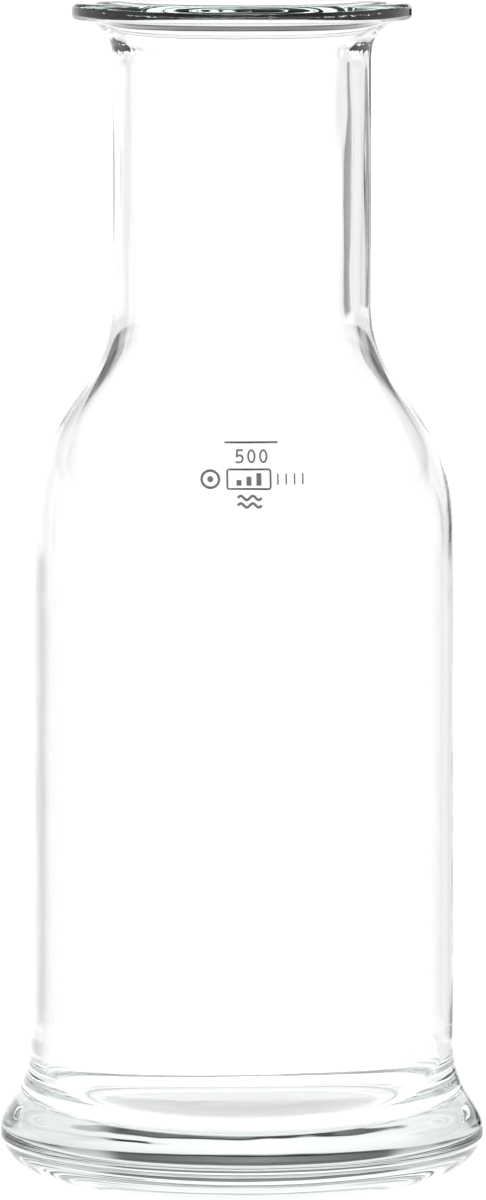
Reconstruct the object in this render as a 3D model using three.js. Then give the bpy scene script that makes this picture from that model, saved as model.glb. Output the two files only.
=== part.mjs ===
// A half-litre glass serving carafe with a flat flared rim, a straight neck, a sloping shoulder and a
// heavy bulging foot, and the enamel print on the front of its shoulder.
// Millimetres, +Z up. The origin is the centre of the resting ring. The print faces -Y.
import * as THREE from "three";

// Rim and mouth.
const HEIGHT = 210;
const RIM_RADIUS = 30.45;
const RIM_THICKNESS = 3.05;
const RIM_CORNER = 1.1;
const RIM_FLAT_INNER_RADIUS = 26.7;

// Neck, shoulder and body, on the outside.
const NECK_RADIUS = 23.15;
const NECK_TOP_Z = 200.3;
const NECK_BOTTOM_Z = 156.15;
const BODY_TOP_RADIUS = 37.95;
const BODY_TOP_Z = 114.8;
const BODY_BOTTOM_RADIUS = 38.1;
const BODY_BOTTOM_Z = 23.2;

// Foot.
const FOOT_RADIUS = 43.55;
const FOOT_WIDEST_Z = 7;
const RESTING_RING_OUTER_RADIUS = 36.4;
const RESTING_RING_INNER_RADIUS = 33.1;
const PUNT_RISE = 0.6;

// Inside: wall thicknesses and the floor of the cavity.
const NECK_WALL = 2.9;
const BODY_WALL = 2.1;
const INNER_WIDEST_RADIUS = 36.3;
const INNER_WIDEST_Z = 17.8;
const FLOOR_Z = 6.2;
const FLOOR_REACH = 28;

// Fineness of the turned surface.
const TURNS = 60;
const CURVE_STEPS = 7;

// Enamel print: a thin layer just clear of the glass.
const PRINT_GAP = 0.1;
const PRINT_THICKNESS = 0.2;
const FILL_LINE_Z = 133.7;
const FILL_LINE_LENGTH = 9.4;
const THIN_STROKE = 0.28;
const STROKE = 0.36;
const HEAVY_STROKE = 0.46;
const DIGIT_HEIGHT = 2.4;
const DIGIT_WIDTH = 1.5;
const DIGIT_PITCH = 2.1;
const DIGIT_BASE_Z = 130.15;
const FRAME_WIDTH = 7.6;
const FRAME_HEIGHT = 3.4;
const FRAME_X = -0.5;
const FRAME_Z = 127.4;
const BAR_WIDTH = 0.9;
const BAR_PITCH = 1.75;

const glassMaterial = () =>
  new THREE.MeshStandardMaterial({
    color: 0xdde6e2, roughness: 0.04, metalness: 0, transparent: true, opacity: 0.35,
  });
const enamelMaterial = () =>
  new THREE.MeshStandardMaterial({ color: 0x7b7c77, roughness: 0.6, metalness: 0 });

const carafe = new THREE.Group();

function addPiece(name, geometry, material) {
  const piece = new THREE.Mesh(geometry, material);
  piece.name = name;
  carafe.add(piece);
}

// The outside of the shoulder, from the body up to the neck.
const shoulderOutside = new THREE.CubicBezierCurve(
  new THREE.Vector2(BODY_TOP_RADIUS, BODY_TOP_Z),
  new THREE.Vector2(BODY_TOP_RADIUS, BODY_TOP_Z + 23.6),
  new THREE.Vector2(NECK_RADIUS, NECK_BOTTOM_Z - 17.1),
  new THREE.Vector2(NECK_RADIUS, NECK_BOTTOM_Z),
);

// Underside, foot, body, shoulder and neck, from the axis up to the underside of the rim.
function drawOutside(profile) {
  profile.moveTo(0, PUNT_RISE);
  profile.bezierCurveTo(25, PUNT_RISE, 28.4, 3, RESTING_RING_INNER_RADIUS, 0);
  profile.lineTo(RESTING_RING_OUTER_RADIUS, 0);
  profile.bezierCurveTo(
    RESTING_RING_OUTER_RADIUS + 3.3, 0,
    FOOT_RADIUS, FOOT_WIDEST_Z - 3.3,
    FOOT_RADIUS, FOOT_WIDEST_Z,
  );
  profile.bezierCurveTo(
    FOOT_RADIUS, FOOT_WIDEST_Z + 5.6,
    BODY_BOTTOM_RADIUS, BODY_BOTTOM_Z - 9.5,
    BODY_BOTTOM_RADIUS, BODY_BOTTOM_Z,
  );
  profile.lineTo(BODY_TOP_RADIUS, BODY_TOP_Z);
  profile.curves.push(shoulderOutside);
  profile.currentPoint.copy(shoulderOutside.v3);
  profile.lineTo(NECK_RADIUS, NECK_TOP_Z);
}

// The flared rim with its rounded corners and flat top, and the funnel of the mouth.
function drawRim(profile) {
  const cornerRadius = RIM_RADIUS - RIM_CORNER;
  const underside = HEIGHT - RIM_THICKNESS;
  const bore = NECK_RADIUS - NECK_WALL;
  profile.bezierCurveTo(
    NECK_RADIUS, NECK_TOP_Z + 5.4,
    cornerRadius - 2, underside,
    cornerRadius, underside,
  );
  profile.absarc(cornerRadius, underside + RIM_CORNER, RIM_CORNER, -Math.PI / 2, 0);
  profile.absarc(cornerRadius, HEIGHT - RIM_CORNER, RIM_CORNER, 0, Math.PI / 2);
  profile.lineTo(RIM_FLAT_INNER_RADIUS, HEIGHT);
  profile.bezierCurveTo(22.6, HEIGHT, bore, HEIGHT - 3.6, bore, NECK_TOP_Z - 0.6);
}

// The cavity, from the neck's bore down into the foot and across its floor.
function drawInside(profile) {
  const bore = NECK_RADIUS - NECK_WALL;
  const topRadius = BODY_TOP_RADIUS - BODY_WALL;
  const bottomRadius = BODY_BOTTOM_RADIUS - BODY_WALL;
  profile.lineTo(bore, NECK_BOTTOM_Z + 0.9);
  profile.bezierCurveTo(bore, NECK_BOTTOM_Z - 16.1, topRadius, BODY_TOP_Z + 22.6, topRadius, BODY_TOP_Z - 1);
  profile.lineTo(bottomRadius, BODY_BOTTOM_Z + 3.6);
  profile.bezierCurveTo(
    bottomRadius, BODY_BOTTOM_Z - 1.4,
    INNER_WIDEST_RADIUS, INNER_WIDEST_Z + 5,
    INNER_WIDEST_RADIUS, INNER_WIDEST_Z,
  );
  profile.bezierCurveTo(INNER_WIDEST_RADIUS, FLOOR_Z + 1, FLOOR_REACH, FLOOR_Z, 0, FLOOR_Z);
}

function glassGeometry() {
  const profile = new THREE.Path();
  drawOutside(profile);
  drawRim(profile);
  drawInside(profile);
  const geometry = new THREE.LatheGeometry(profile.getPoints(CURVE_STEPS), TURNS);
  return geometry.rotateX(Math.PI / 2);
}

// Radius of the shoulder's outside at a height, by halving the curve's parameter.
function shoulderRadius(z) {
  let [low, high] = [0, 1];
  while (high - low > 1e-6) {
    const middle = (low + high) / 2;
    if (shoulderOutside.getPoint(middle).y < z) low = middle;
    else high = middle;
  }
  return shoulderOutside.getPoint(low).x;
}

// Lays a flat shape on the glass: its x runs round the shoulder and its y is the height.
function printedGeometry(shape) {
  const geometry = new THREE.ExtrudeGeometry(shape, {
    depth: PRINT_THICKNESS, steps: 1, bevelEnabled: false, curveSegments: 12,
  });
  const position = geometry.getAttribute("position");
  for (let i = 0; i < position.count; i += 1) {
    const glass = shoulderRadius(position.getY(i));
    const angle = position.getX(i) / glass;
    const radius = glass + PRINT_GAP + position.getZ(i);
    position.setXYZ(i, radius * Math.sin(angle), -radius * Math.cos(angle), position.getY(i));
  }
  geometry.computeVertexNormals();
  return geometry;
}

// Points beside a curve, at a distance to its left.
function besideCurve(curve, distance, steps) {
  return Array.from({ length: steps + 1 }, (_, i) => {
    const tangent = curve.getTangent(i / steps);
    const point = curve.getPoint(i / steps);
    return new THREE.Vector2(point.x - tangent.y * distance, point.y + tangent.x * distance);
  });
}

// A stroke of even width along an open curve.
function strokeShape(curve, width, steps) {
  const left = besideCurve(curve, width / 2, steps);
  const right = besideCurve(curve, -width / 2, steps);
  return new THREE.Shape([...right, ...left.reverse()]);
}

// A stroke of even width along a closed curve that runs anticlockwise.
function loopShape(curve, width, steps) {
  const shape = new THREE.Shape(besideCurve(curve, -width / 2, steps).slice(0, -1));
  shape.holes.push(new THREE.Path(besideCurve(curve, width / 2, steps).slice(0, -1)));
  return shape;
}

function barShape(x0, z0, x1, z1, width, steps) {
  const line = new THREE.LineCurve(new THREE.Vector2(x0, z0), new THREE.Vector2(x1, z1));
  return strokeShape(line, width, steps);
}

function printPiece(name, shape) {
  addPiece(`print_${name}`, printedGeometry(shape), enamelMaterial());
}

// The outline of the figure 5, standing on its base line with its left side at x.
function fiveShape(x, z) {
  const shape = new THREE.Shape();
  shape.moveTo(x + 1.4, z + DIGIT_HEIGHT);
  shape.lineTo(x + 0.2, z + DIGIT_HEIGHT);
  shape.lineTo(x + 0.08, z + 1.02);
  shape.lineTo(x + 0.4, z + 1.02);
  shape.bezierCurveTo(x + 0.56, z + 1.24, x + 1.12, z + 1.26, x + 1.13, z + 0.76);
  shape.bezierCurveTo(x + 1.12, z + 0.34, x + 0.66, z + 0.18, x + 0.12, z + 0.42);
  shape.lineTo(x, z + 0.1);
  shape.bezierCurveTo(x + 0.7, z - 0.2, x + DIGIT_WIDTH, z + 0.08, x + DIGIT_WIDTH, z + 0.78);
  shape.bezierCurveTo(x + DIGIT_WIDTH, z + 1.54, x + 0.8, z + 1.64, x + 0.48, z + 1.46);
  shape.lineTo(x + 0.53, z + DIGIT_HEIGHT - STROKE);
  shape.lineTo(x + 1.4, z + DIGIT_HEIGHT - STROKE);
  shape.closePath();
  return shape;
}

function zeroShape(x, z) {
  const middle = new THREE.EllipseCurve(
    x + DIGIT_WIDTH / 2, z + DIGIT_HEIGHT / 2,
    (DIGIT_WIDTH - STROKE) / 2, (DIGIT_HEIGHT - STROKE) / 2,
  );
  return loopShape(middle, STROKE, 24);
}

// The fill line and, below it, the capacity in millilitres.
function addCapacity() {
  const half = FILL_LINE_LENGTH / 2;
  printPiece("fill_line", barShape(-half, FILL_LINE_Z, half, FILL_LINE_Z, STROKE, 16));
  const left = -DIGIT_PITCH - DIGIT_WIDTH / 2;
  printPiece("digit_5", fiveShape(left, DIGIT_BASE_Z));
  printPiece("digit_0_middle", zeroShape(left + DIGIT_PITCH, DIGIT_BASE_Z));
  printPiece("digit_0_right", zeroShape(left + 2 * DIGIT_PITCH, DIGIT_BASE_Z));
}

// A frame with rounded corners that holds three bars of rising height.
function addFramedBars() {
  const [halfWidth, halfHeight, corner] = [FRAME_WIDTH / 2, FRAME_HEIGHT / 2, 0.35];
  const outline = new THREE.Path();
  outline.moveTo(FRAME_X - halfWidth + corner, FRAME_Z - halfHeight);
  [[1, -1], [1, 1], [-1, 1], [-1, -1]].forEach(([right, up], i) => {
    const start = (i - 1) * Math.PI / 2;
    outline.absarc(
      FRAME_X + right * (halfWidth - corner), FRAME_Z + up * (halfHeight - corner),
      corner, start, start + Math.PI / 2,
    );
  });
  printPiece("frame", loopShape(outline, STROKE, 72));
  for (let i = 0; i < 3; i += 1) {
    const x = FRAME_X + BAR_PITCH * (i - 1);
    const top = FRAME_Z - 0.1 + 0.58 * i;
    printPiece(`bar_${i + 1}`, barShape(x, FRAME_Z - 1.1, x, top, BAR_WIDTH, 4));
  }
}

// A ring with a dot in it, to the left of the frame.
function addRing() {
  const [x, radius, dotRadius] = [-7.3, 1.55, 0.55];
  const ring = new THREE.EllipseCurve(x, FRAME_Z, radius, radius * 0.95);
  printPiece("ring", loopShape(ring, HEAVY_STROKE, 32));
  const dot = new THREE.Shape();
  dot.absarc(x, FRAME_Z, dotRadius, 0, 2 * Math.PI);
  printPiece("ring_dot", dot);
}

// Four thin upright ticks, to the right of the frame.
function addTicks() {
  for (let i = 0; i < 4; i += 1) {
    const x = 4.6 + 1.5 * i;
    printPiece(`tick_${i + 1}`, barShape(x, FRAME_Z - 0.95, x, FRAME_Z + 0.95, THIN_STROKE, 4));
  }
}

// Two waves, one above the other, below the frame.
function addWaves() {
  for (const [name, z] of [["upper", FRAME_Z - 3.2], ["lower", FRAME_Z - 4.5]]) {
    const crests = Array.from({ length: 25 }, (_, i) => {
      const turn = (i / 24) * 4 * Math.PI;
      return new THREE.Vector2(FRAME_X - 2 + (4.2 * i) / 24, z + 0.35 * Math.sin(turn));
    });
    printPiece(`wave_${name}`, strokeShape(new THREE.SplineCurve(crests), HEAVY_STROKE, 48));
  }
}

addPiece("glass_carafe", glassGeometry(), glassMaterial());
addCapacity();
addFramedBars();
addRing();
addTicks();
addWaves();

export default carafe;
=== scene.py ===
import math

import bpy
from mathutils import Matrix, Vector, noise


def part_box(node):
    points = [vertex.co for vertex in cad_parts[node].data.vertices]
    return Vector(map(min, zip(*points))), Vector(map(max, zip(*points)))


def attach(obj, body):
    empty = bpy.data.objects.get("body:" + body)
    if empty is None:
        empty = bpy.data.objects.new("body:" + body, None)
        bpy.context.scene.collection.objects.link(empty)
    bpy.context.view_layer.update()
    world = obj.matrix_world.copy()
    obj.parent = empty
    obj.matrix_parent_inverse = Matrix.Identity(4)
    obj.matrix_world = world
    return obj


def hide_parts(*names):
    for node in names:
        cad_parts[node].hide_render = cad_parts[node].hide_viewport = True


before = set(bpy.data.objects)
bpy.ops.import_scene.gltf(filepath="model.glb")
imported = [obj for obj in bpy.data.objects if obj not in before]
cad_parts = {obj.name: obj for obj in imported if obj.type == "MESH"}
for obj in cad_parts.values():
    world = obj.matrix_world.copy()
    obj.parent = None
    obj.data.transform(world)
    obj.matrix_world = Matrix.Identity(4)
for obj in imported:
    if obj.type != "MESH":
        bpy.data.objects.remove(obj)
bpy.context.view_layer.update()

MM = 0.001
TINY = 1e-6

# Outside of the glass. The height and the widest radius come from the frame.
glass_low, glass_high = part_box("glass_carafe")
HEIGHT = glass_high.z / MM
FOOT_RADIUS = -glass_low.y / MM
RIM_RADIUS = 30.45
RIM_THICKNESS = 3.05
RIM_CORNER = 1.1
RIM_FLAT_INNER_RADIUS = 28.0
NECK_RADIUS = 23.15
NECK_TOP_Z = 200.3
NECK_BOTTOM_Z = 156.15
BODY_TOP_RADIUS = 37.95
BODY_TOP_Z = 114.8
BODY_BOTTOM_RADIUS = 38.1
BODY_BOTTOM_Z = 23.2
FOOT_WIDEST_Z = 7.0
RESTING_RING_OUTER_RADIUS = 36.4
RESTING_RING_INNER_RADIUS = 33.1
PUNT_RISE = 0.6

# How far the ends of the outside's curves keep their direction, which sets how full each curve is.
# PUNT_EDGE is the (radius, z) that pulls the underside's curve down to the resting ring.
PUNT_REACH = 25
PUNT_EDGE = (28.4, 3)
FOOT_ROUND = 3.3
FOOT_REACH = 5.6
WAIST_REACH = 9.5
SHOULDER_LOW_REACH = 23.6
SHOULDER_HIGH_REACH = 17.1
FLARE_RISE = 5.4
FLARE_REACH = 2

# Inside of the glass.
NECK_WALL = 2.9
BODY_WALL = 2.1
INNER_WIDEST_RADIUS = 36.3
INNER_WIDEST_Z = 17.8
FLOOR_Z = 6.2
FLOOR_REACH = 28.0

# Where the inside's curves meet its straight walls, and how far their ends keep their direction.
MOUTH_LIP_RADIUS = 24.5
MOUTH_DEPTH = 6
BORE_TOP_Z = NECK_TOP_Z - 0.6
BORE_BOTTOM_Z = NECK_BOTTOM_Z + 0.9
INNER_SHOULDER_HIGH_REACH = 17
INNER_SHOULDER_LOW_REACH = 23.6
INNER_BODY_TOP_Z = BODY_TOP_Z - 1
INNER_BODY_BOTTOM_Z = BODY_BOTTOM_Z + 3.6
INNER_WAIST_REACH = 5
BULGE_REACH = 5
FLOOR_CORNER_RISE = 1

# The inner wall's stray from the even wall. A stretch fades in and out between two pairs of heights,
# and waves are (depth, waves round the axis, height of one wave, seed).
BODY_STRETCH = ((16, 30), (118, 150))
BODY_SHIFT = 0.45
BODY_WAVES = ((0.05, 2.5, 60, 3),)
NECK_STRETCH = ((150, 165), (203, 207))
NECK_WAVES = ((0.06, 5, 30, 11), (0.03, 9, 16, 5))
NECK_RING_Z = 196
NECK_RING_SPREAD = 5
NECK_RING_DEPTH = 0.12
CRINKLE_Z = 201.8
CRINKLE_SPREAD = 0.7
CRINKLE_DEPTH = 0.12
CRINKLE_WAVES = ((CRINKLE_DEPTH, 26, 2, 7),)

# Fineness of the turned surface.
TURNS = 256
LINE_STEPS = 26
CURVE_STEPS = 26
SHOULDER_STEPS = 64
FLARE_STEPS = 20
CORNER_STEPS = 10
RING_STEPS = 5
RIM_FLAT_STEPS = 4

# Enamel print, a thin layer fused to the outside of the shoulder.
CAD_PRINT_GAP = 0.1
CAD_PRINT_THICKNESS = 0.2
PRINT_GAP = 0.012
PRINT_THICKNESS = 0.03


# ---------------------------------------------------------------- shapes

def curve_point(corners, t):
    """The (radius, z) at parameter t of the curve with four control points."""
    s = 1 - t
    weights = (s ** 3, 3 * s * s * t, 3 * s * t * t, t ** 3)
    return tuple(sum(w * c[k] for w, c in zip(weights, corners)) for k in (0, 1))


def bezier(start, first, second, end, steps):
    return [curve_point((start, first, second, end), i / steps) for i in range(1, steps + 1)]


def line(start, end, steps):
    return [tuple(a + (b - a) * i / steps for a, b in zip(start, end)) for i in range(1, steps + 1)]


def shoulder_outside():
    start = (BODY_TOP_RADIUS, BODY_TOP_Z)
    end = (NECK_RADIUS, NECK_BOTTOM_Z)
    return start, (start[0], start[1] + SHOULDER_LOW_REACH), (end[0], end[1] - SHOULDER_HIGH_REACH), end


def outside_profile():
    """(radius, z) from the axis under the foot up to the underside of the rim."""
    foot = (FOOT_RADIUS, FOOT_WIDEST_Z)
    body = (BODY_BOTTOM_RADIUS, BODY_BOTTOM_Z)
    ring_inner = (RESTING_RING_INNER_RADIUS, 0)
    ring_outer = (RESTING_RING_OUTER_RADIUS, 0)
    points = [(0, PUNT_RISE)]
    points += bezier(points[-1], (PUNT_REACH, PUNT_RISE), PUNT_EDGE, ring_inner, CURVE_STEPS)
    points += line(points[-1], ring_outer, RING_STEPS)
    points += bezier(points[-1], (ring_outer[0] + FOOT_ROUND, 0), (foot[0], foot[1] - FOOT_ROUND),
                     foot, CURVE_STEPS)
    points += bezier(points[-1], (foot[0], foot[1] + FOOT_REACH), (body[0], body[1] - WAIST_REACH),
                     body, CURVE_STEPS)
    points += line(points[-1], (BODY_TOP_RADIUS, BODY_TOP_Z), LINE_STEPS)
    points += bezier(*shoulder_outside(), SHOULDER_STEPS)
    points += line(points[-1], (NECK_RADIUS, NECK_TOP_Z), LINE_STEPS)
    return points


def rim_profile(start):
    """The flare, the rounded corners and the flat top of the rim."""
    centre = RIM_RADIUS - RIM_CORNER
    underside = HEIGHT - RIM_THICKNESS
    points = bezier(start, (start[0], start[1] + FLARE_RISE), (centre - FLARE_REACH, underside),
                    (centre, underside), FLARE_STEPS)
    for height, first_angle in ((underside + RIM_CORNER, -90), (HEIGHT - RIM_CORNER, 0)):
        for i in range(CORNER_STEPS + 1):
            angle = math.radians(first_angle + 90 * i / CORNER_STEPS)
            points.append((centre + RIM_CORNER * math.cos(angle), height + RIM_CORNER * math.sin(angle)))
    points += line(points[-1], (RIM_FLAT_INNER_RADIUS, HEIGHT), RIM_FLAT_STEPS)
    return points


def inside_profile(start):
    """The mouth, neck, shoulder, body and floor of the cavity, down to the axis."""
    bore = NECK_RADIUS - NECK_WALL
    top = BODY_TOP_RADIUS - BODY_WALL
    bottom = BODY_BOTTOM_RADIUS - BODY_WALL
    widest = (INNER_WIDEST_RADIUS, INNER_WIDEST_Z)
    points = bezier(start, (MOUTH_LIP_RADIUS, HEIGHT), (bore, HEIGHT - MOUTH_DEPTH),
                    (bore, BORE_TOP_Z), CURVE_STEPS)
    points += line(points[-1], (bore, BORE_BOTTOM_Z), LINE_STEPS)
    points += bezier(points[-1], (bore, BORE_BOTTOM_Z - INNER_SHOULDER_HIGH_REACH),
                     (top, INNER_BODY_TOP_Z + INNER_SHOULDER_LOW_REACH),
                     (top, INNER_BODY_TOP_Z), SHOULDER_STEPS)
    points += line(points[-1], (bottom, INNER_BODY_BOTTOM_Z), LINE_STEPS)
    points += bezier(points[-1], (bottom, INNER_BODY_BOTTOM_Z - INNER_WAIST_REACH),
                     (widest[0], widest[1] + BULGE_REACH), widest, CURVE_STEPS)
    points += bezier(widest, (widest[0], FLOOR_Z + FLOOR_CORNER_RISE), (FLOOR_REACH, FLOOR_Z),
                     (0, FLOOR_Z), 3 * CURVE_STEPS)
    return points


def smooth_step(low, high, value):
    """0 below low and 1 above high, with a soft climb between them."""
    t = min(max((value - low) / (high - low), 0), 1)
    return t * t * (3 - 2 * t)


def stretch(z, fade_in, fade_out):
    """1 between the two fades and 0 outside them."""
    return smooth_step(*fade_in, z) * (1 - smooth_step(*fade_out, z))


def ripples(angle, z, waves):
    """Smooth noise over the wall, each wave between its depth outwards and inwards."""
    right, front = math.sin(angle), math.cos(angle)
    return sum(depth * noise.noise(Vector((turns * right, turns * front, z / pitch + seed)))
               for depth, turns, pitch, seed in waves)


def bell(z, middle, spread):
    """1 at the middle height, fading to 0 above and below it."""
    return math.exp(-((z - middle) / spread) ** 2)


def inner_offset(angle, z):
    """How far the inner wall of the blown glass strays outwards, in millimetres.

    The body's cavity lies a little to the right, the neck's wall is wavy and swells in a ring below
    the mouth, and above that ring the glass is crinkled.
    """
    neck_ring = NECK_RING_DEPTH * bell(z, NECK_RING_Z, NECK_RING_SPREAD)
    body = BODY_SHIFT * math.sin(angle) + ripples(angle, z, BODY_WAVES)
    neck = ripples(angle, z, NECK_WAVES) - neck_ring
    crinkle = ripples(angle, z, CRINKLE_WAVES) - CRINKLE_DEPTH
    return (stretch(z, *BODY_STRETCH) * body + stretch(z, *NECK_STRETCH) * neck
            + bell(z, CRINKLE_Z, CRINKLE_SPREAD) * crinkle)


def lathe_mesh(name, outside, inside):
    """One closed body turned about Z from the two profiles, with the inner wall's stray."""
    rows = [(r, z, False) for r, z in outside] + [(r, z, True) for r, z in inside]
    vertices = []
    rings = []
    for radius, z, is_inside in rows:
        if radius < TINY:
            rings.append([len(vertices)])
            vertices.append((0, 0, z * MM))
            continue
        ring = []
        for k in range(TURNS):
            angle = 2 * math.pi * k / TURNS
            r = radius + (inner_offset(angle, z) if is_inside else 0)
            ring.append(len(vertices))
            vertices.append((r * MM * math.sin(angle), -r * MM * math.cos(angle), z * MM))
        rings.append(ring)
    faces = []
    for below, above in zip(rings, rings[1:]):
        for k in range(TURNS):
            n = (k + 1) % TURNS
            if len(below) == 1:
                faces.append((below[0], above[n], above[k]))
            elif len(above) == 1:
                faces.append((below[k], below[n], above[0]))
            else:
                faces.append((below[k], below[n], above[n], above[k]))
    mesh = bpy.data.meshes.new(name)
    mesh.from_pydata(vertices, [], faces)
    for polygon in mesh.polygons:
        polygon.use_smooth = True
    return mesh


def add_object(name, mesh, material):
    piece = bpy.data.objects.new(name, mesh)
    bpy.context.scene.collection.objects.link(piece)
    mesh.materials.clear()
    mesh.materials.append(material)
    return piece


def glass_radius(z):
    """Radius of the shoulder's outside at a height, by halving the curve's parameter."""
    corners = shoulder_outside()
    low, high = 0.0, 1.0
    while high - low > TINY:
        middle = (low + high) / 2
        radius, height = curve_point(corners, middle)
        if height < z:
            low = middle
        else:
            high = middle
    return radius


def print_mesh(node):
    """The CAD stroke's mesh, pressed down to a thin layer on the glass."""
    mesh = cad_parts[node].data.copy()
    for vertex in mesh.vertices:
        x, y, z = (value / MM for value in vertex.co)
        glass = glass_radius(z)
        level = (math.hypot(x, y) - glass - CAD_PRINT_GAP) / CAD_PRINT_THICKNESS
        radius = glass + PRINT_GAP + PRINT_THICKNESS * min(max(level, 0), 1)
        scale = radius * MM / math.hypot(x, y)
        vertex.co = (x * scale, y * scale, z * MM)
    for polygon in mesh.polygons:
        polygon.use_smooth = False
    return mesh


# ---------------------------------------------------------------- materials

def add_node(tree, kind, **values):
    node = tree.nodes.new(kind)
    for name, value in values.items():
        setattr(node, name, value)
    return node


def new_material(name):
    material = bpy.data.materials.new(name)
    material.use_nodes = True
    return material, material.node_tree, material.node_tree.nodes["Principled BSDF"]


def glass_material():
    material, tree, shader = new_material("clear_glass")
    shader.inputs["Base Color"].default_value = (0.995, 1.0, 0.997, 1)
    shader.inputs["Roughness"].default_value = 0.0
    shader.inputs["IOR"].default_value = 1.51
    shader.inputs["Transmission Weight"].default_value = 1.0
    where = add_node(tree, "ShaderNodeTexCoord")
    wave = add_node(tree, "ShaderNodeTexNoise")
    wave.inputs["Scale"].default_value = 60
    wave.inputs["Detail"].default_value = 2
    tree.links.new(where.outputs["Object"], wave.inputs["Vector"])
    bump = add_node(tree, "ShaderNodeBump")
    bump.inputs["Strength"].default_value = 0.3
    bump.inputs["Distance"].default_value = 0.0002
    tree.links.new(wave.outputs["Fac"], bump.inputs["Height"])
    tree.links.new(bump.outputs["Normal"], shader.inputs["Normal"])
    tint = add_node(tree, "ShaderNodeVolumeAbsorption")
    tint.inputs["Color"].default_value = (0.86, 0.95, 0.91, 1)
    tint.inputs["Density"].default_value = 7.0
    tree.links.new(tint.outputs["Volume"], tree.nodes["Material Output"].inputs["Volume"])
    return material


def enamel_material():
    material, tree, shader = new_material("grey_enamel")
    where = add_node(tree, "ShaderNodeTexCoord")
    cloud = add_node(tree, "ShaderNodeTexNoise")
    cloud.inputs["Scale"].default_value = 900
    cloud.inputs["Detail"].default_value = 4
    tree.links.new(where.outputs["Object"], cloud.inputs["Vector"])
    ramp = add_node(tree, "ShaderNodeValToRGB")
    ramp.color_ramp.elements[0].position = 0.3
    ramp.color_ramp.elements[0].color = (0.16, 0.165, 0.15, 1)
    ramp.color_ramp.elements[1].position = 0.7
    ramp.color_ramp.elements[1].color = (0.25, 0.255, 0.24, 1)
    tree.links.new(cloud.outputs["Fac"], ramp.inputs["Fac"])
    tree.links.new(ramp.outputs["Color"], shader.inputs["Base Color"])
    rough = add_node(tree, "ShaderNodeMapRange")
    rough.inputs["To Min"].default_value = 0.45
    rough.inputs["To Max"].default_value = 0.75
    tree.links.new(cloud.outputs["Fac"], rough.inputs["Value"])
    tree.links.new(rough.outputs["Result"], shader.inputs["Roughness"])
    bump = add_node(tree, "ShaderNodeBump")
    bump.inputs["Strength"].default_value = 0.3
    bump.inputs["Distance"].default_value = 0.00002
    tree.links.new(cloud.outputs["Fac"], bump.inputs["Height"])
    tree.links.new(bump.outputs["Normal"], shader.inputs["Normal"])
    return material


# ---------------------------------------------------------------- the carafe

outside = outside_profile()
outside += rim_profile(outside[-1])
inside = inside_profile(outside[-1])
glass = add_object("carafe_glass", lathe_mesh("carafe_glass", outside, inside), glass_material())
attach(glass, "root")
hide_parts("glass_carafe")

enamel = enamel_material()
for node in sorted(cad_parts):
    if not node.startswith("print_"):
        continue
    stroke = add_object("enamel_" + node[len("print_"):], print_mesh(node), enamel)
    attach(stroke, "root")
    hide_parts(node)


# ---------------------------------------------------------------- studio

TABLE_RADIUS = 0.06
TABLE_SIDES = 144
TABLE_GAP = 0.0002
# Inside SHADE_RADIUS the table's glow drops to SHADE_GLOW, a painted contact shadow under the foot, and
# SHADE_BLUR softens its edge.
SHADE_RADIUS = 0.036
SHADE_BLUR = 0.008
SHADE_GLOW = 0.55


def add_floor():
    """A round white table that glows, its glow dimmed under the foot as a painted contact shadow, and
    whose glowing edge runs into the white studio.
    """
    corners = [math.radians(360 / TABLE_SIDES * i) for i in range(TABLE_SIDES)]
    mesh = bpy.data.meshes.new("table")
    mesh.from_pydata([(TABLE_RADIUS * math.sin(a), TABLE_RADIUS * math.cos(a), 0) for a in corners],
                     [], [range(TABLE_SIDES - 1, -1, -1)])
    material, tree, shader = new_material("white_table")
    shader.inputs["Base Color"].default_value = (0.9, 0.9, 0.9, 1)
    shader.inputs["Roughness"].default_value = 0.9
    shader.inputs["Specular IOR Level"].default_value = 0.0
    shader.inputs["Emission Color"].default_value = (1, 1, 1, 1)
    where = add_node(tree, "ShaderNodeTexCoord")
    reach = add_node(tree, "ShaderNodeVectorMath", operation="LENGTH")
    tree.links.new(where.outputs["Object"], reach.inputs[0])
    # Painted contact shadow: the glow is weaker near the middle of the table, under the foot.
    glow = add_node(tree, "ShaderNodeMapRange", interpolation_type="SMOOTHSTEP")
    glow.inputs["From Min"].default_value = SHADE_RADIUS - SHADE_BLUR
    glow.inputs["From Max"].default_value = SHADE_RADIUS
    glow.inputs["To Min"].default_value = SHADE_GLOW
    glow.inputs["To Max"].default_value = 1.0
    tree.links.new(reach.outputs["Value"], glow.inputs["Value"])
    tree.links.new(glow.outputs["Result"], shader.inputs["Emission Strength"])
    floor = add_object("table", mesh, material)
    floor.location.z = -TABLE_GAP


def both_sides(*stops):
    """The stops given for the right side, repeated in mirror image on the left."""
    return [(-angle, grey) for angle, grey in reversed(stops) if angle > 0] + list(stops)


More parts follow.
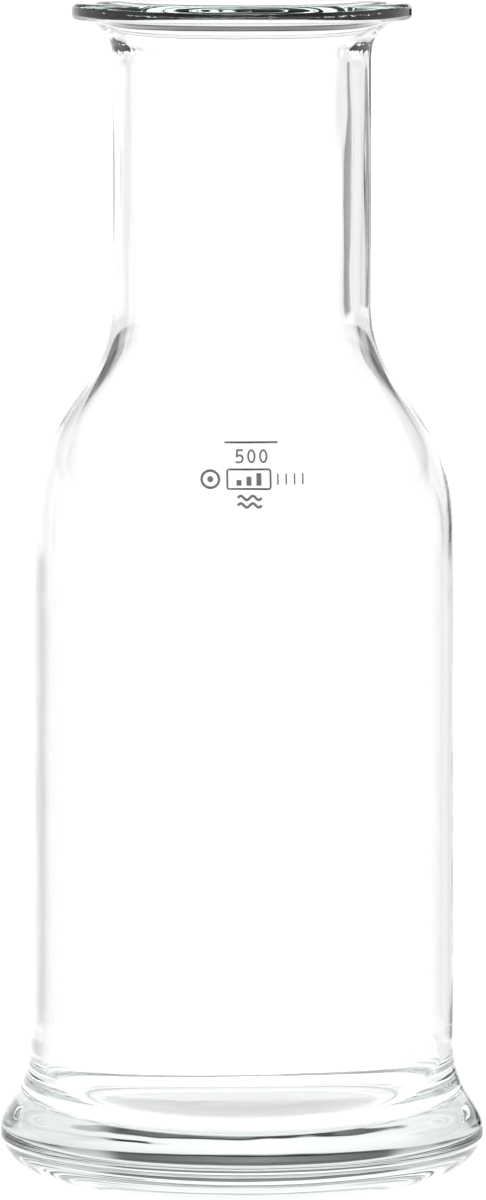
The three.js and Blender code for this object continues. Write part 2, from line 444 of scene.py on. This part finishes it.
# Bands of the studio by degrees above the horizon, each a list of (degrees from the back towards
# the right, grey). Between two bands the grey runs smoothly from one to the other.
WHITE_BACK = both_sides((12, 1.15), (20, 1), (180, 1))
BLACK_STRIPE = both_sides((0, .02), (25, .05), (30, .5), (38, .5), (44, .06), (62, .3), (110, .8),
                          (130, .3), (180, .2))
BANDS = [
    # Below the table's level: a dark ground, and white behind the carafe.
    (-56, both_sides((180, .3))),
    (-40, WHITE_BACK),
    (-11, WHITE_BACK),
    # Behind the body: light greys at the sides, for the edges of the body.
    (-9, [(-180, 1), (-120, 1), (-62, .95), (-48, .9), (-36, .82), (-28, .62), (-21, .85), (-14, 1.1),
          (12, 1.15), (17, .78), (26, .78), (32, .88), (45, .8), (62, .95), (120, 1), (180, 1)]),
    (-5, [(-180, .8), (-120, 1), (-62, .95), (-48, .9), (-36, .82), (-28, .62), (-21, .85), (-14, 1.1),
          (12, 1.15), (17, .78), (26, .78), (32, .88), (45, .8), (62, .95), (120, 1), (180, .8)]),
    # Level with the neck: a narrow black card on the right, for the dark line down the neck.
    (-4, [(-180, .5), (-130, .7), (-110, 1), (-62, 1), (-48, .84), (-36, .86), (-30, 1), (-14, 1.15),
          (12, 1.15), (17.2, .8), (18.4, 0), (24.2, 0), (27.5, .7), (40, .86), (62, 1), (110, 1),
          (130, .7), (180, .5)]),
    (1, [(-180, .3), (-130, .4), (-110, 1), (-62, 1), (-48, .84), (-36, .86), (-30, 1), (-14, 1.15),
         (12, 1.15), (17.2, .8), (18.4, 0), (24.2, 0), (27.5, .7), (40, .86), (62, 1), (110, 1),
         (130, .4), (180, .3)]),
    (2.4, [(-180, .3), (-130, .4), (-110, 1), (-62, 1), (-48, .84), (-36, .9), (-25, 1), (0, 1.15),
           (25, 1), (40, .86), (62, 1), (110, 1), (130, .4), (180, .3)]),
    (9.6, both_sides((0, 1.1), (35, .9), (48, .8), (62, 1), (110, 1), (130, .3), (180, .3))),
    # Above the level of the rim: dark cards, for the dark streaks of the foot.
    (10.8, BLACK_STRIPE),
    (11.6, BLACK_STRIPE),
    (12.4, both_sides((0, .28), (25, .1), (30, .5), (38, .5), (44, .1), (62, .4), (110, .8),
                      (130, .3), (180, .2))),
    (16, both_sides((0, .26), (25, .1), (30, .6), (62, .6), (110, .8), (130, .3), (180, .2))),
    (17.5, both_sides((0, .12), (25, .06), (30, .6), (62, .6), (110, .8), (130, .3), (180, .2))),
    (20.5, both_sides((0, .12), (25, .06), (30, .6), (62, .6), (110, .8), (130, .3), (180, .1))),
    # The white ceiling.
    (23, both_sides((110, 1), (150, .3), (180, .1))),
    (30, both_sides((180, .9))),
    (60, both_sides((180, 1.1))),
]


def ramp_node(tree, source, stops):
    """A colour ramp of (position, grey) stops."""
    node = add_node(tree, "ShaderNodeValToRGB")
    elements = node.color_ramp.elements
    while len(elements) < len(stops):
        elements.new(0.5)
    for i, (position, grey) in enumerate(stops):
        elements[i].position = position
        elements[i].color = (grey, grey, grey, 1)
    tree.links.new(source, node.inputs["Fac"])
    return node.outputs["Color"]


def math_node(tree, operation, *values):
    """A maths node whose inputs are plain numbers or other nodes' outputs."""
    node = add_node(tree, "ShaderNodeMath", operation=operation)
    for i, value in enumerate(values):
        if isinstance(value, (int, float)):
            node.inputs[i].default_value = value
        else:
            tree.links.new(value, node.inputs[i])
    return node.outputs["Value"]


def add_studio_light():
    """The studio as the world's light: the bands, blended by height above the horizon."""
    world = bpy.data.worlds.new("studio")
    bpy.context.scene.world = world
    world.use_nodes = True
    tree = world.node_tree
    direction = add_node(tree, "ShaderNodeTexCoord").outputs["Generated"]
    split = add_node(tree, "ShaderNodeSeparateXYZ")
    tree.links.new(direction, split.inputs["Vector"])
    turn = math_node(tree, "ARCTAN2", split.outputs["X"], split.outputs["Y"])
    turn = math_node(tree, "MULTIPLY_ADD", turn, 1 / (2 * math.pi), 0.5)
    rise = math_node(tree, "ARCSINE", split.outputs["Z"])
    rise = math_node(tree, "MULTIPLY", rise, 180 / math.pi)
    grey = None
    height = None
    for next_height, stops in BANDS:
        band = ramp_node(tree, turn, [((d + 180) / 360, v) for d, v in stops])
        if grey is None:
            grey = band
        else:
            climb = add_node(tree, "ShaderNodeMapRange")
            climb.inputs["From Min"].default_value = height
            climb.inputs["From Max"].default_value = next_height
            tree.links.new(rise, climb.inputs["Value"])
            blend = add_node(tree, "ShaderNodeMix", data_type="RGBA")
            tree.links.new(climb.outputs["Result"], blend.inputs["Factor"])
            tree.links.new(grey, blend.inputs["A"])
            tree.links.new(band, blend.inputs["B"])
            grey = blend.outputs["Result"]
        height = next_height
    tree.links.new(grey, tree.nodes["Background"].inputs["Color"])


# The camera stands a little to the left of the front, and the shift centres the carafe.
CAMERA_DISTANCE = 1.6057
CAMERA_HEIGHT = 0.2443
CAMERA_YAW = math.radians(-2.75)
CAMERA_SHIFT = (0.0009, -0.0006)


def add_camera():
    """Looks slightly down at the carafe and frames it from rim to foot."""
    top = math.atan2(CAMERA_HEIGHT - HEIGHT * MM, CAMERA_DISTANCE + RIM_RADIUS * MM)
    bottom = math.atan2(CAMERA_HEIGHT, CAMERA_DISTANCE - RESTING_RING_OUTER_RADIUS * MM)
    tilt = (top + bottom) / 2
    data = bpy.data.cameras.new("camera")
    camera = bpy.data.objects.new("camera", data)
    bpy.context.scene.collection.objects.link(camera)
    data.sensor_width = 36
    data.lens = data.sensor_width / 2 / math.tan((bottom - top) / 2)
    data.shift_x, data.shift_y = CAMERA_SHIFT
    data.clip_start = 0.01
    data.clip_end = 100
    right, ahead = math.sin(CAMERA_YAW), math.cos(CAMERA_YAW)
    camera.location = (right * CAMERA_DISTANCE, -ahead * CAMERA_DISTANCE, CAMERA_HEIGHT)
    view = Vector((-right * math.cos(tilt), ahead * math.cos(tilt), -math.sin(tilt)))
    camera.rotation_euler = view.to_track_quat("-Z", "Y").to_euler()
    bpy.context.scene.camera = camera


def set_light_paths():
    scene = bpy.context.scene
    scene.view_settings.view_transform = "Standard"
    scene.cycles.max_bounces = 24
    scene.cycles.transmission_bounces = 24
    scene.cycles.glossy_bounces = 16
    scene.cycles.transparent_max_bounces = 16
    scene.cycles.diffuse_bounces = 3
    scene.cycles.caustics_refractive = True
    scene.cycles.caustics_reflective = False
    scene.cycles.sample_clamp_indirect = 4


add_floor()
add_studio_light()
add_camera()
set_light_paths()
